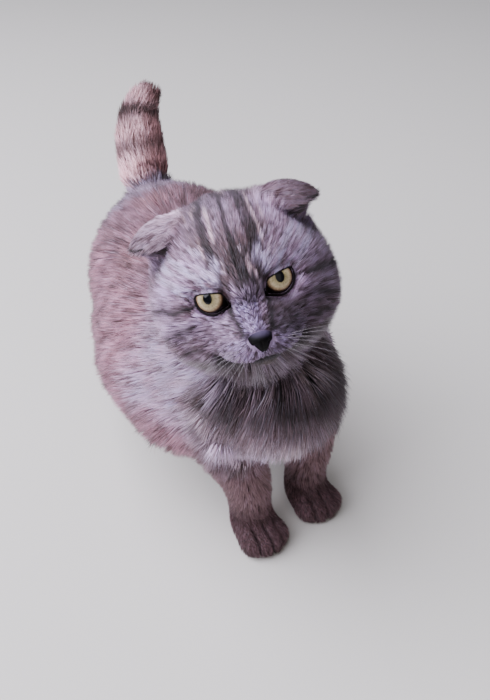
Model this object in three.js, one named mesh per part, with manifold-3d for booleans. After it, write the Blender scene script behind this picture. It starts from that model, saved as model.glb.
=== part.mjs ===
// A life-size still model of a Scottish fold cat, standing with its tail up and its head lifted and turned to
// look at someone on its front right. Millimetres, +Z up, floor at z = 0. The cat faces -Y, its left side is +X.
// Every surface is the outside of the coat. Each sub-part is one closed solid, GAP clear of its neighbours.

import * as THREE from "three";
import { mergeVertices } from "three/addons/utils/BufferGeometryUtils.js";
import Module from "manifold-3d";

const wasm = await Module();
wasm.setup();

const { sin, cos, abs, min, max, sqrt, hypot, PI } = Math;
const radians = THREE.MathUtils.degToRad;

// Driving dimensions of the body
const GAP = 0.3;
const SHOULDER_Y = -66;
const HIP_Y = 78;
const CHEST_HALF_WIDTH = 59;
const BELLY_HALF_WIDTH = 83;
const HIP_HALF_WIDTH = 75;
const BELLY_Z = 70; // lowest fur under the belly
const BACK_Z = 228; // top of the coat over the hips
const AXIS_Z = 150; // height of the line that the trunk is wrapped around
const CHEST_END_Y = -34; // chest, torso and rump part here
const RUMP_START_Y = 40;
const NECK_Z = 200; // the neck is parted from the chest here, on a plane that tilts forward and to the right
const NECK_NORMAL = [-0.25, 0.25, 1];

// Legs: where each foot stands, and the heights where a leg is divided
const FORE_FOOT = { left: [38, -80], right: [-18, -86] };
const HIND_FOOT = { left: [42, 98], right: [-22, 110] };
const FORE_CUT_Z = 28;
const ELBOW_Z = 92;
const HIND_CUT_Z = 27;
const KNEE_Z = 84;

// Tail: the middle line from inside the rump to the tip, with the radius at each station
const TAIL_LINE = [
  [8, 118, 182, 20],
  [11, 141, 205, 22.5],
  [16, 162, 234, 20.5],
  [26, 176, 256, 17.5],
  [44, 181, 272, 14],
];

// Head: its frame has the nose towards -Y and the crown towards +Z, and starts in the middle of the skull
const HEAD_AT = [-26, -78, 239];
const HEAD_YAW = -25; // degrees, towards the cat's right
const HEAD_LIFT = 17; // degrees, nose up
const HEAD_LEAN = -14.5; // degrees, crown towards the cat's right
const EYE_RADIUS = 11.5;
const EYE_AT = new THREE.Vector3(18.7, -24, 4); // the left eyeball
const EYE_TURN = 11; // degrees that each eye looks outwards
const EYE_SLANT = 9; // degrees that the outer corner is above the inner one
const EYE_OPENING = { half: 10.6, upper: 6, lower: 8 };
const LID_THICKNESS = 1.3;

// Locks of the long fur: a ruff and bib that cover the front of the chest, and a fringe along the belly
const BIB_CENTRE = [-2, -74, 152]; // the locks' roots are spread around this point
const BIB_SINK = 9; // how far the core under the bib lies below the tips
const BIB_LOCK = { length: 37, width: 12, depth: 3.8, lift: 8 };
const BIB_ROWS = 6;
const BIB_TOP = 40; // degrees above and below the level of the centre
const BIB_FOOT = -46;
const BIB_HALF_TURN = 66; // degrees to each side of its middle, which is turned a little to the right
const BIB_TURN = -6;
const LOCK_SPACING = 21; // degrees between the locks of a row
const FRINGE_LOCK = { length: 24, width: 8.5, depth: 3.2, lift: 5 };
const FRINGE_YS = [-21, -7, 7, 21];
const FRINGE_CENTRE = [-15, 0, 130];
const FRINGE_DROP = 46; // degrees below the level of its centre
const ROOT_SINK = 6; // how deep a lock starts inside what it grows from

// Materials, one for each finish
function coat(name, color) {
  return new THREE.MeshStandardMaterial({ name, color, roughness: 0.9, metalness: 0 });
}
const BODY_COAT = coat("body coat", "#8d777c");
const HEAD_COAT = coat("head coat", "#85727a");
const CHEST_COAT = coat("chest coat", "#857a80");
const LEG_COAT = coat("leg coat", "#5d4a4b");
const PAW_COAT = coat("paw coat", "#513f41");
const TAIL_COAT = coat("tail coat", "#9c8079");
const NOSE_SKIN = new THREE.MeshStandardMaterial({ name: "nose skin", color: "#3a3037", roughness: 0.5 });
const IRIS = new THREE.MeshStandardMaterial({ name: "eye", color: "#c4a94e", roughness: 0.08 });

// Solids: a geometry becomes a solid that can be cut and joined, and a solid becomes a named mesh
function solidOf(geometry) {
  const bare = geometry.clone();
  for (const name of Object.keys(bare.attributes)) if (name !== "position") bare.deleteAttribute(name);
  const merged = mergeVertices(bare, 1e-3);
  return new wasm.Manifold(
    new wasm.Mesh({
      numProp: 3,
      vertProperties: new Float32Array(merged.attributes.position.array),
      triVerts: new Uint32Array(merged.index.array),
    }),
  );
}

function meshOf(name, solid, material) {
  const largest = solid.decompose().sort((a, b) => b.volume() - a.volume())[0];
  const { numProp, numVert, vertProperties, triVerts } = largest.getMesh();
  const places = new Float32Array(numVert * 3);
  for (let i = 0; i < numVert; i++) places.set(vertProperties.subarray(i * numProp, i * numProp + 3), i * 3);
  const geometry = new THREE.BufferGeometry();
  geometry.setAttribute("position", new THREE.BufferAttribute(places, 3));
  geometry.setIndex(new THREE.BufferAttribute(triVerts, 1));
  geometry.computeVertexNormals();
  const mesh = new THREE.Mesh(geometry, material);
  mesh.name = name;
  return mesh;
}

// Everything on the far side of a plane, as a big box turned so that its +Z is the plane's normal
function beyond(point, normal) {
  const box = new THREE.BoxGeometry(900, 900, 900).translate(0, 0, 450);
  const turn = new THREE.Quaternion().setFromUnitVectors(
    new THREE.Vector3(0, 0, 1),
    new THREE.Vector3(...normal).normalize(),
  );
  return solidOf(box.applyQuaternion(turn).translate(...point));
}
const above = (z) => beyond([0, 0, z], [0, 0, 1]);
const below = (z) => beyond([0, 0, z], [0, 0, -1]);

// A sphere whose vertices are moved: place gets the unit direction of each and returns its point
function shaped(sides, rings, place) {
  const geometry = new THREE.SphereGeometry(1, sides, rings);
  const at = geometry.attributes.position;
  const direction = new THREE.Vector3();
  for (let i = 0; i < at.count; i++) at.setXYZ(i, ...place(direction.fromBufferAttribute(at, i)));
  return geometry;
}

// Fields: the signed distance, in mm, to a form made of blobs that flow into each other
function blob([cx, cy, cz], [rx, ry, rz]) {
  return (x, y, z) => {
    const [u, v, w] = [(x - cx) / rx, (y - cy) / ry, (z - cz) / rz];
    const scaled = hypot(u, v, w);
    return (scaled * (scaled - 1)) / max(hypot(u / rx, v / ry, w / rz), 1e-6);
  };
}

function bar(a, b, radiusA, radiusB) {
  const along = b.map((n, i) => n - a[i]);
  const length2 = along.reduce((sum, n) => sum + n * n, 0);
  return (x, y, z) => {
    const from = [x - a[0], y - a[1], z - a[2]];
    const share = from.reduce((sum, n, i) => sum + n * along[i], 0) / length2;
    const t = min(1, max(0, share));
    return hypot(...from.map((n, i) => n - t * along[i])) - (radiusA + t * (radiusB - radiusA));
  };
}

function flowing(softness, blobs) {
  return (x, y, z) =>
    blobs.reduce((near, next) => {
      const other = next(x, y, z);
      const blend = max(softness - abs(near - other), 0) / softness;
      return min(near, other) - (blend * blend * softness) / 4;
    }, 1e6);
}

const pair = (make) => [make(1), make(-1)];

// How far out from a point inside the form its surface lies, at a level above the field's own surface
function reach(field, [x, y, z], direction, level = 0) {
  const value = (r) => field(x + r * direction.x, y + r * direction.y, z + r * direction.z) - level;
  let outside = 4;
  while (value(outside) < 0) outside += 4;
  let inside = outside - 4;
  for (let i = 0; i < 16; i++) {
    const middle = (inside + outside) / 2;
    if (value(middle) < 0) inside = middle;
    else outside = middle;
  }
  return outside;
}

// Wraps a sphere onto a field from a centre, which may slide along Y with the direction
function wrapped(field, centre, { slide = 0, sides, rings, level = 0, spread = 1, floor = -1e6 }) {
  return shaped(sides, rings, (unit) => {
    const direction = towardsFront(unit, spread);
    const origin = [centre[0], centre[1] + slide * direction.y, centre[2]];
    let r = reach(field, origin, direction, level);
    if (direction.z < 0) r = min(r, (floor - origin[2]) / direction.z);
    return origin.map((n, i) => n + r * direction.getComponent(i));
  });
}

// A spread above 1 draws the rings of the sphere towards -Y, where a face has its detail
function towardsFront(unit, spread) {
  const polar = PI * (Math.acos(min(1, max(-1, -unit.y))) / PI) ** spread;
  const round = hypot(unit.x, unit.z) || 1;
  return new THREE.Vector3((unit.x / round) * sin(polar), -cos(polar), (unit.z / round) * sin(polar));
}

// A limb: ovals centred on a smooth line through stations of [x, y, z, half width, half depth], round at both
// ends. The width runs along across. Level ovals lie flat, others stand square to the line. cup bends each
// oval, as an ear is cupped. grow adds that much all round.
function limb(stations, { sides, rings, across = [1, 0, 0], level = false, cup = 0, grow = 0, blunt = 0.62 }) {
  const line = new THREE.CatmullRomCurve3(stations.map(([x, y, z]) => new THREE.Vector3(x, y, z)));
  const sizes = new THREE.CatmullRomCurve3(
    stations.map(([, , , wide, deep = wide], i) => new THREE.Vector3(wide, deep, 10 * i)),
  );
  return shaped(sides, rings, (unit) => {
    const t = (1 + unit.y) / 2;
    const size = sizes.getPoint(t);
    const round = sqrt(max(0, 1 - unit.y * unit.y));
    const swell = round ** blunt;
    const [a, b] = round > 1e-6 ? [unit.x / round, unit.z / round] : [0, 0];
    const along = level ? new THREE.Vector3(0, 0, 1) : line.getTangent(t);
    const wide = new THREE.Vector3(...across);
    wide.addScaledVector(along, -wide.dot(along)).normalize();
    const deep = wide.clone().cross(along);
    return line
      .getPoint(t)
      .addScaledVector(wide, a * (size.x * swell + grow))
      .addScaledVector(deep, b * (size.y * swell + grow) + cup * a * a * swell)
      .toArray();
  });
}

// Trunk: chest, ribs, belly, haunches, neck and the bib of long fur, as one smooth form
const trunkField = flowing(24, [
  blob([-6, SHOULDER_Y, 158], [CHEST_HALF_WIDTH - 4, 58, 66]),
  blob([-15, 4, 130], [BELLY_HALF_WIDTH - 2, 90, 130 - BELLY_Z - 3]),
  blob([-34, -26, 106], [45, 44, 33]),
  blob([-10, 10, 168], [63, 92, BACK_Z - 168 - 8]),
  blob([3, HIP_Y, 160], [HIP_HALF_WIDTH - 3, 62, BACK_Z - 160 - 2]),
  blob([9, HIP_Y + 34, 172], [44, 32, 38]),
  blob([-12, -62, 212], [44, 42, 34]),
  blob([0, -94, 146], [40, 32, 46]),
]);

// Under the bib the surface sinks to a core, which the locks cover
function coreField(x, y, z) {
  const [cx, cy, cz] = BIB_CENTRE;
  const off = hypot((x - cx) / 62, (y - cy + 34) / 52, (z - cz) / 72);
  return trunkField(x, y, z) + BIB_SINK * max(0, 1 - off ** 4);
}

function trunk(level) {
  return solidOf(wrapped(coreField, [0, 8, AXIS_Z], { slide: 84, sides: 32, rings: 26, level }));
}

// A repeatable draw between -1 and 1
let seed = 7;
function vary() {
  seed = (seed * 16807) % 2147483647;
  return (2 * seed) / 2147483647 - 1;
}

// A lock: flat and tapered, it starts inside the surface, follows the lie of the coat, lifts off and bends down
function lock(from, direction, lie, { length, width, depth, lift }) {
  const r = reach(coreField, from, direction);
  const root = new THREE.Vector3(...from).addScaledVector(direction, r);
  const step = 0.5;
  const { x, y, z } = root;
  const normal = new THREE.Vector3(
    coreField(x + step, y, z) - coreField(x - step, y, z),
    coreField(x, y + step, z) - coreField(x, y - step, z),
    coreField(x, y, z + step) - coreField(x, y, z - step),
  ).normalize();
  const along = lie.clone().addScaledVector(normal, -lie.dot(normal)).normalize();
  const across = normal.clone().cross(along);
  const size = 1 + 0.2 * vary();
  const stations = [0, 0.35, 0.7, 1].map((t) => {
    const at = root
      .clone()
      .addScaledVector(along, length * size * (t - 0.15) * (1 - 0.25 * t))
      .addScaledVector(normal, lift * size * t - ROOT_SINK * (1 - t) ** 2)
      .add(new THREE.Vector3(0, 0, -0.25 * length * size * t * t));
    const taper = 1 - 0.75 * t * t;
    return [...at.toArray(), width * taper, depth * taper];
  });
  return solidOf(limb(stations, { sides: 4, rings: 5, across: across.toArray() }));
}

const outwards = (name) => (name === "left" ? 1 : -1);

function foreLimb(name, grow = 0) {
  const s = outwards(name);
  const [x, y] = FORE_FOOT[name];
  const stations = [
    [x, y + 10, 2, 16, 17],
    [x, y + 10, 26, 18, 18],
    [x + s * 3, y + 12, 56, 21, 22],
    [(x + s * 45) / 2, y + 19, ELBOW_Z, 25, 29],
    [s * 39 - 2, SHOULDER_Y + 3, 132, 24, 38],
    [s * 33 - 2, SHOULDER_Y + 2, 176, 22, 32],
  ];
  return solidOf(limb(stations, { sides: 14, rings: 14, level: true, grow }));
}

function hindLimb(name, grow = 0) {
  const s = outwards(name);
  const [x, y] = HIND_FOOT[name];
  const stations = [
    [x, y + 12, 2, 15, 16],
    [x, y + 14, 26, 16, 17],
    [x + s * 3, y + 16, 50, 17, 20],
    [(x + s * 50) / 2, y - 2, KNEE_Z - 6, 21, 32],
    [s * 49 - 2, HIP_Y - 8, 118, 29, 51],
    [s * 42, HIP_Y, 170, 28, 46],
  ];
  return solidOf(limb(stations, { sides: 14, rings: 14, level: true, grow }));
}

// A foot: pad, four toes and the root of the leg, flat where it stands
function foot([x, y], { width, length, height, heel, ankle }) {
  const toes = [-1.5, -0.5, 0.5, 1.5].map((n) =>
    blob(
      [x + n * width * 0.235, y - length * (0.35 - 0.05 * n * n), height * 0.42],
      [width * 0.15, length * 0.21, height * 0.45],
    ),
  );
  const field = flowing(5, [
    blob([x, y - length * 0.02, height * 0.45], [width * 0.46, length * 0.4, height * 0.56]),
    bar([x, y + heel, height * 0.5], [x, y + heel, height + 30], ankle, ankle + 1),
    ...toes,
  ]);
  const middle = [x, y + heel * 0.4, height * 0.45];
  return solidOf(wrapped(field, middle, { sides: 20, rings: 14, spread: 1.2, floor: 0 }));
}

const trunkSolid = trunk(0);
const legs = [];
const legHollows = [];
for (const name of ["left", "right"]) {
  const fore = foreLimb(name);
  const hind = hindLimb(name);
  legHollows.push(foreLimb(name, GAP), hindLimb(name, GAP));
  const foreFoot = foot(FORE_FOOT[name], { width: 43, length: 52, height: 23, heel: 10, ankle: 17 });
  const hindFoot = foot(HIND_FOOT[name], { width: 40, length: 52, height: 22, heel: 13, ankle: 16 });
  legs.push(
    meshOf(`upper_arm_${name}`, fore.subtract(below(ELBOW_Z + GAP)), BODY_COAT),
    meshOf(`foreleg_${name}`, fore.subtract(above(ELBOW_Z)).subtract(below(FORE_CUT_Z + GAP)), LEG_COAT),
    meshOf(`fore_paw_${name}`, foreFoot.subtract(above(FORE_CUT_Z)), PAW_COAT),
    meshOf(`thigh_${name}`, hind.subtract(below(KNEE_Z + GAP)), BODY_COAT),
    meshOf(`hind_leg_${name}`, hind.subtract(above(KNEE_Z)).subtract(below(HIND_CUT_Z + GAP)), LEG_COAT),
    meshOf(`hind_paw_${name}`, hindFoot.subtract(above(HIND_CUT_Z)), PAW_COAT),
  );
}

// Tail, in three lengths parted square to its line
const tailSolid = solidOf(limb(TAIL_LINE, { sides: 14, rings: 16 })).subtract(trunk(GAP));
const tailCurve = new THREE.CatmullRomCurve3(TAIL_LINE.map(([x, y, z]) => new THREE.Vector3(x, y, z)));
function tailCut(share, turn) {
  const along = tailCurve.getTangent(share).multiplyScalar(turn);
  const at = tailCurve.getPoint(share).addScaledVector(along, -GAP / 2);
  return beyond(at.toArray(), along.toArray());
}
const tail = [
  meshOf("tail_base", tailSolid.subtract(tailCut(0.5, 1)), TAIL_COAT),
  meshOf("tail_middle", tailSolid.subtract(tailCut(0.5, -1)).subtract(tailCut(0.76, 1)), TAIL_COAT),
  meshOf("tail_tip", tailSolid.subtract(tailCut(0.76, -1)), TAIL_COAT),
];

// Head: skull, cheeks, jowls, whisker pads, chin and the bridge of the nose, as one smooth form
const headField = flowing(8, [
  blob([0, 8, 14], [47, 49, 41]),
  blob([0, -6, 22], [38, 32, 32]),
  ...pair((s) => blob([s * 33, 6, 6], [23, 36, 30])),
  ...pair((s) => blob([s * 32, 0, -14], [27, 34, 31])),
  ...pair((s) => blob([s * 20, -16, -30], [20, 24, 15])),
  blob([0, -30, -18], [24, 20, 17]),
  ...pair((s) => blob([s * 10, -42, -27], [13, 12.5, 9.5])),
  bar([0, -30, 12], [0, -49, -16], 11, 6),
  blob([0, -37, -38], [11, 12, 8]),
]);

function skull(level) {
  return wrapped(headField, [0, 0, -2], { sides: 42, rings: 32, level, spread: 1.35 });
}

// Where the head's surface is at a given width and height of the face
function onFace(x, z) {
  return [x, -reach(headField, [x, 0, z], new THREE.Vector3(0, -1, 0)), z];
}

const eyePlace = (s) => new THREE.Vector3(EYE_AT.x * s, EYE_AT.y, EYE_AT.z);

function eyeball(s, grow = 0) {
  const ball = new THREE.SphereGeometry(EYE_RADIUS + grow, 18, 10);
  return solidOf(ball.translate(...eyePlace(s).toArray()));
}

// The almond between the lids, drawn forward as a plug that clears them
function eyeOpening(s) {
  const plug = shaped(20, 4, (unit) => {
    const edge = hypot(unit.x, unit.z);
    const depth = abs(unit.y) < 0.1 ? -14 : unit.y > 0 ? 2 : -30;
    if (edge < 0.5) return [0, depth, 0];
    const [a, b] = [unit.x / edge, unit.z / edge];
    const tall = b > 0 ? EYE_OPENING.upper : EYE_OPENING.lower;
    return [a * EYE_OPENING.half, depth, Math.sign(b) * tall * max(0, 1 - a * a) ** 0.4];
  });
  plug.rotateY(radians(-s * EYE_SLANT)).rotateZ(radians(s * EYE_TURN));
  return solidOf(plug.translate(...eyePlace(s).toArray()));
}

// Ears: each pinna rises from its root beside the crown, folds forward over a level ridge and ends in a broad
// lip above the brow
function ear(s, grow = 0) {
  const stations = [
    [s * 36.5, 13, 25, 16.5, 9],
    [s * 38.5, 11, 38, 20, 8],
    [s * 40.5, 5, 45.5, 20.5, 6.8],
    [s * 42.5, -4, 45.5, 18.5, 5.4],
    [s * 43.5, -11.5, 41.5, 15.5, 4],
    [s * 44, -15.5, 37.5, 9, 2.8],
  ];
  const across = [0.94 * s, -0.1, -0.28];
  return solidOf(limb(stations, { sides: 12, rings: 11, across, cup: 3 * s, grow, blunt: 0.5 }));
}

// Nose leather: a rounded triangle with a nostril on each side
const noseField = flowing(3, [
  blob([0, -50.5, -18.5], [7.4, 6.5, 4.6]),
  blob([0, -51, -22.5], [3.6, 5.6, 4.8]),
]);

function nose(level) {
  return solidOf(wrapped(noseField, [0, -51, -20], { sides: 14, rings: 9, level }));
}

function nostril(s) {
  const hole = new THREE.SphereGeometry(1, 8, 6).scale(1.9, 3.2, 1.3);
  return solidOf(hole.rotateY(radians(s * 28)).translate(s * 4.4, -57, -20.5));
}

// The line of the mouth, as a fine round groove that follows the face
const MOUTH = [
  [-29, -29.5],
  [-21, -33.5],
  [-10, -35],
  [0, -32.5],
  [10, -35],
  [21, -33.5],
  [29, -29.5],
];

function mouthGroove() {
  const stations = MOUTH.map(([x, z]) => [...onFace(x, z), 1.1, 1.3]);
  return solidOf(limb(stations, { sides: 4, rings: 18, across: [0, 0, 1] }));
}

let head = solidOf(skull(0));
for (const s of [1, -1]) {
  const lids = new THREE.SphereGeometry(EYE_RADIUS + LID_THICKNESS, 18, 10).translate(...eyePlace(s).toArray());
  head = head.add(solidOf(lids)).subtract(eyeOpening(s)).subtract(eyeball(s, GAP));
}
head = head.subtract(nose(GAP)).subtract(mouthGroove());

const headGroup = new THREE.Group();
headGroup.position.set(...HEAD_AT);
headGroup.rotation.set(radians(-HEAD_LIFT), radians(HEAD_LEAN), radians(HEAD_YAW), "ZXY");
headGroup.updateMatrix();
headGroup.add(
  meshOf("head", head, HEAD_COAT),
  meshOf("nose", nose(0).subtract(nostril(1)).subtract(nostril(-1)), NOSE_SKIN),
  meshOf("eye_left", eyeball(1), IRIS),
  meshOf("eye_right", eyeball(-1), IRIS),
  meshOf("ear_left", ear(1).subtract(solidOf(skull(GAP))), HEAD_COAT),
  meshOf("ear_right", ear(-1).subtract(solidOf(skull(GAP))), HEAD_COAT),
);

// The bib's locks, in rows from the throat down to between the legs, each row shifted by half a step
function bibLocks() {
  const locks = [];
  for (let row = 0; row < BIB_ROWS; row++) {
    const rise = radians(BIB_TOP + ((BIB_FOOT - BIB_TOP) * row) / (BIB_ROWS - 1));
    const steps = Math.round((2 * BIB_HALF_TURN * cos(rise)) / LOCK_SPACING);
    for (let n = 0; n <= steps; n++) {
      const share = (n + 0.25 + 0.5 * (row % 2)) / (steps + 1);
      const turn = radians(BIB_TURN + BIB_HALF_TURN * (2 * share - 1) + 2 * vary());
      const direction = new THREE.Vector3(sin(turn) * cos(rise), -cos(turn) * cos(rise), sin(rise));
      const lie = new THREE.Vector3(0.5 * sin(turn) + 0.15 * vary(), -0.3 * cos(turn), -1);
      locks.push(lock(BIB_CENTRE, direction, lie, BIB_LOCK));
    }
  }
  return locks;
}

// The belly's fringe, one row along each side
function fringeLocks() {
  return pair((s) =>
    FRINGE_YS.map((y) => {
      const direction = new THREE.Vector3(s * cos(radians(FRINGE_DROP)), 0, -sin(radians(FRINGE_DROP)));
      const lie = new THREE.Vector3(0.15 * s, 0.5 + 0.2 * vary(), -1);
      const [cx, cy, cz] = FRINGE_CENTRE;
      return lock([cx, cy + y + 2 * vary(), cz], direction, lie, FRINGE_LOCK);
    }),
  ).flat();
}

// The trunk is parted into neck, chest, torso and rump, clear of the head and the legs
const headHollow = solidOf(skull(GAP).applyMatrix4(headGroup.matrix));
const behind = (y) => beyond([0, y, 0], [0, 1, 0]);
const ahead = (y) => beyond([0, y, 0], [0, -1, 0]);
const overNeck = (drop) => beyond([0, SHOULDER_Y, NECK_Z - drop], NECK_NORMAL);
const clear = (solid) => legHollows.reduce((left, leg) => left.subtract(leg), solid).subtract(headHollow);
const joined = (locks) => locks.reduce((all, next) => all.add(next), trunkSolid);

const neck = trunkSolid.subtract(behind(CHEST_END_Y - GAP)).intersect(overNeck(0));
const chest = joined(bibLocks()).subtract(behind(CHEST_END_Y - GAP)).subtract(overNeck(GAP));
const torso = joined(fringeLocks()).subtract(ahead(CHEST_END_Y)).subtract(behind(RUMP_START_Y - GAP));
const rump = trunkSolid.subtract(ahead(RUMP_START_Y));
const trunkParts = [
  meshOf("neck", clear(neck), CHEST_COAT),
  meshOf("chest", clear(chest), CHEST_COAT),
  meshOf("torso", clear(torso), BODY_COAT),
  meshOf("rump", clear(rump), BODY_COAT),
];

const cat = new THREE.Group();
cat.add(...trunkParts, ...legs, ...tail, headGroup);

// The origin is the middle of the base
cat.updateMatrixWorld(true);
const box = new THREE.Box3().setFromObject(cat, true);
const centre = box.getCenter(new THREE.Vector3());
cat.position.set(-centre.x, -centre.y, -box.min.z);

export default cat;
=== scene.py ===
import math

import bmesh
import bpy
import numpy as np
from mathutils import Matrix, Vector, kdtree


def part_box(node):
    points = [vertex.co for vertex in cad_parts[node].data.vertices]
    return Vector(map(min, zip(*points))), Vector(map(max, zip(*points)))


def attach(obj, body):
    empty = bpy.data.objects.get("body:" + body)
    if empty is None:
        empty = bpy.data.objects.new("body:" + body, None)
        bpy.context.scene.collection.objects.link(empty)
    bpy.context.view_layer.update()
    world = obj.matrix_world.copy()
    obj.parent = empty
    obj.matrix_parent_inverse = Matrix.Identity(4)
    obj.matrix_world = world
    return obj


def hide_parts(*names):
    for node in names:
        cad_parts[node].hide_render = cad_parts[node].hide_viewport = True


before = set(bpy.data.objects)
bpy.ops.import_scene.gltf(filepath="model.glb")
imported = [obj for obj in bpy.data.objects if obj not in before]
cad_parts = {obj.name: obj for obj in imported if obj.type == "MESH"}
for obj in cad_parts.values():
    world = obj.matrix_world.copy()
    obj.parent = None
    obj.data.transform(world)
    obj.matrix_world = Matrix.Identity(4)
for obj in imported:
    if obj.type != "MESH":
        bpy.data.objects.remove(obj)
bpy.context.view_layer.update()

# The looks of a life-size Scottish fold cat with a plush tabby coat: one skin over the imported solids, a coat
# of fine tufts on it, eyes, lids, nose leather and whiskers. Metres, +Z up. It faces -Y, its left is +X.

bpy.ops.object.select_all(action="DESELECT")
MM = 0.001

# Camera: where the photo was taken from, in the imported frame
CAMERA_AT = Vector((-215.1, -440.2, 492)) * MM
CAMERA_PITCH = 38  # degrees below the level
CAMERA_YAW = -31  # degrees from +Y, clockwise seen from above is minus
FOCAL_PIXELS = 760
IMAGE_HEIGHT = 700

# Head: its own frame has the nose towards -Y and the crown towards +Z, in millimetres
HEAD_YAW = -25
HEAD_LIFT = 17
HEAD_LEAN = -14.5
EYES_MIDDLE = Vector((0, -24, 4))
EYE_RADIUS = 11.5
EYE_TURN = 11
EYE_SLANT = 9

SIDES = ("left", "right")
LIMBS = ("upper_arm", "foreleg", "fore_paw", "thigh", "hind_leg", "hind_paw")
TAIL_NODES = ("tail_base", "tail_middle", "tail_tip")
FLESH = ["head", "ear_left", "ear_right", "neck", "chest", "torso", "rump", *TAIL_NODES]
FLESH += [f"{part}_{side}" for part in LIMBS for side in SIDES]

rng = np.random.default_rng(238)


def linear(code):
    """An sRGB hex colour as linear red, green and blue."""
    srgb = np.array([int(code[i : i + 2], 16) for i in (1, 3, 5)]) / 255
    return np.where(srgb <= 0.04045, srgb / 12.92, ((srgb + 0.055) / 1.055) ** 2.4)


def add_node(tree, kind, inputs=(), stops=(), **settings):
    """Adds a node. An input is a value, a node or a node's output. stops are a ramp's places and colours."""
    made = tree.nodes.new(kind)
    for name, value in settings.items():
        setattr(made, name, value)
    for socket, value in inputs:
        if isinstance(value, bpy.types.Node):
            value = value.outputs[0]
        if isinstance(value, bpy.types.NodeSocket):
            tree.links.new(value, made.inputs[socket])
        else:
            made.inputs[socket].default_value = value
    for place, code in stops[1:-1]:
        made.color_ramp.elements.new(place)
    for i, (place, code) in enumerate(stops):
        made.color_ramp.elements[i].position = place
    for i, (place, code) in enumerate(stops):
        made.color_ramp.elements[i].color = (*linear(code), 1)
    return made


def new_material(name):
    material = bpy.data.materials.new(name)
    material.use_nodes = True
    material.node_tree.nodes.clear()
    return material


def finish_material(material, inputs):
    """Gives a material its one surface."""
    shader = add_node(material.node_tree, "ShaderNodeBsdfPrincipled", inputs)
    add_node(material.node_tree, "ShaderNodeOutputMaterial", [("Surface", shader)])
    return material


def plain_material(name, code, *inputs):
    return finish_material(new_material(name), [("Base Color", (*linear(code), 1)), *inputs])


def new_object(name, data):
    made = bpy.data.objects.new(name, data)
    bpy.context.scene.collection.objects.link(made)
    return made


# Camera
def make_camera():
    data = bpy.data.cameras.new("camera")
    camera = new_object("camera", data)
    data.sensor_fit = "VERTICAL"
    data.sensor_height = 24
    data.lens = FOCAL_PIXELS / IMAGE_HEIGHT * data.sensor_height
    camera.location = CAMERA_AT
    camera.rotation_euler = (math.radians(90 - CAMERA_PITCH), 0, math.radians(CAMERA_YAW))
    bpy.context.scene.camera = camera


make_camera()


# Fields: smooth steps, peaks and repeatable noise over arrays of points
def step(low, high, value):
    """0 at low, 1 at high and smooth between; low may be the larger."""
    t = np.clip((value - low) / (high - low), 0, 1)
    return t * t * (3 - 2 * t)


def lattice(cells, seed):
    """A repeatable number from 0 to 1 for each whole-number cell."""
    mixed = cells[:, 0] * 73856093 ^ cells[:, 1] * 19349663 ^ cells[:, 2] * 83492791 ^ seed * 40503
    mixed = (mixed ^ (mixed >> 13)) * 1274126177 & 0x7FFFFFFF
    return ((mixed ^ (mixed >> 15)) & 0xFFFF) / 0xFFFF


def cloud(points, size, seed):
    """Soft noise from -1 to 1 with lumps of about a size."""
    at = points / size
    cell = np.floor(at).astype(np.int64)
    f = at - cell
    f = f * f * (3 - 2 * f)
    total = np.zeros(len(points))
    for corner in range(8):
        bits = np.array([corner & 1, corner >> 1 & 1, corner >> 2 & 1])
        weight = np.prod(np.where(bits, f, 1 - f), axis=1)
        total += weight * lattice(cell + bits, seed)
    return 2 * total - 1


def peak(value, centre, width, power=2):
    """1 at a centre, falling away on both sides of it over about a width."""
    return np.exp(-(((value - centre) / width) ** power))


def span(points, centre, sizes=1):
    """How far points are from a centre, in half sizes along each axis."""
    return np.linalg.norm((points - centre) / sizes, axis=1)


def blend(low, high, mask):
    return low + (high - low) * mask


def overlaid(base, *others):
    """A value with others laid over it in turn, each by its mask."""
    for value, mask in others:
        base = blend(base, value, mask)
    return base


def vectors(x, y, z):
    """One vector for each point, from three coordinates that are arrays or single numbers."""
    return np.stack(np.broadcast_arrays(x, y, z), axis=1)


def unit(rows):
    return rows / np.maximum(np.linalg.norm(rows, axis=1, keepdims=True), 1e-9)


def tangent(ways, normals):
    """Ways laid along the surface that has these normals."""
    return unit(ways - normals * np.sum(ways * normals, axis=1, keepdims=True))


# Head frame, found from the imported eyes
def middle(node):
    low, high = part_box(node)
    return (low + high) / 2


def turn(degrees, axis):
    return Matrix.Rotation(math.radians(degrees), 3, axis)


HEAD_AXES = turn(HEAD_YAW, "Z") @ turn(-HEAD_LIFT, "X") @ turn(HEAD_LEAN, "Y")
HEAD_AT = (middle("eye_left") + middle("eye_right")) / 2 - HEAD_AXES @ EYES_MIDDLE * MM
HEAD_TURN = np.array(HEAD_AXES)


def to_head(points):
    """World points in metres as head points in millimetres."""
    return (points - np.array(HEAD_AT)) @ HEAD_TURN / MM


def from_head(points):
    return points * MM @ HEAD_TURN.T + np.array(HEAD_AT)


# Meshes and arrays
def read(items, name, width, kind):
    """Some values of each item of a mesh, as the rows of an array."""
    flat = np.empty(len(items) * width, kind)
    items.foreach_get(name, flat)
    return flat.reshape(-1, width)


def points_of(mesh):
    return read(mesh.vertices, "co", 3, np.float32).astype(float)


def put_points(mesh, points):
    mesh.vertices.foreach_set("co", points.astype(np.float32).ravel())
    mesh.update()


def triangles_of(mesh):
    mesh.calc_loop_triangles()
    return read(mesh.loop_triangles, "vertices", 3, np.int32)


def edges_of(mesh):
    return read(mesh.edges, "vertices", 2, np.int32)


def vertex_normals(points, triangles):
    a, b, c = (points[triangles[:, i]] for i in range(3))
    faces = np.cross(b - a, c - a)
    total = np.zeros_like(points)
    for corner in range(3):
        for axis in range(3):
            total[:, axis] += np.bincount(triangles[:, corner], faces[:, axis], len(points))
    return unit(total)


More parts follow.
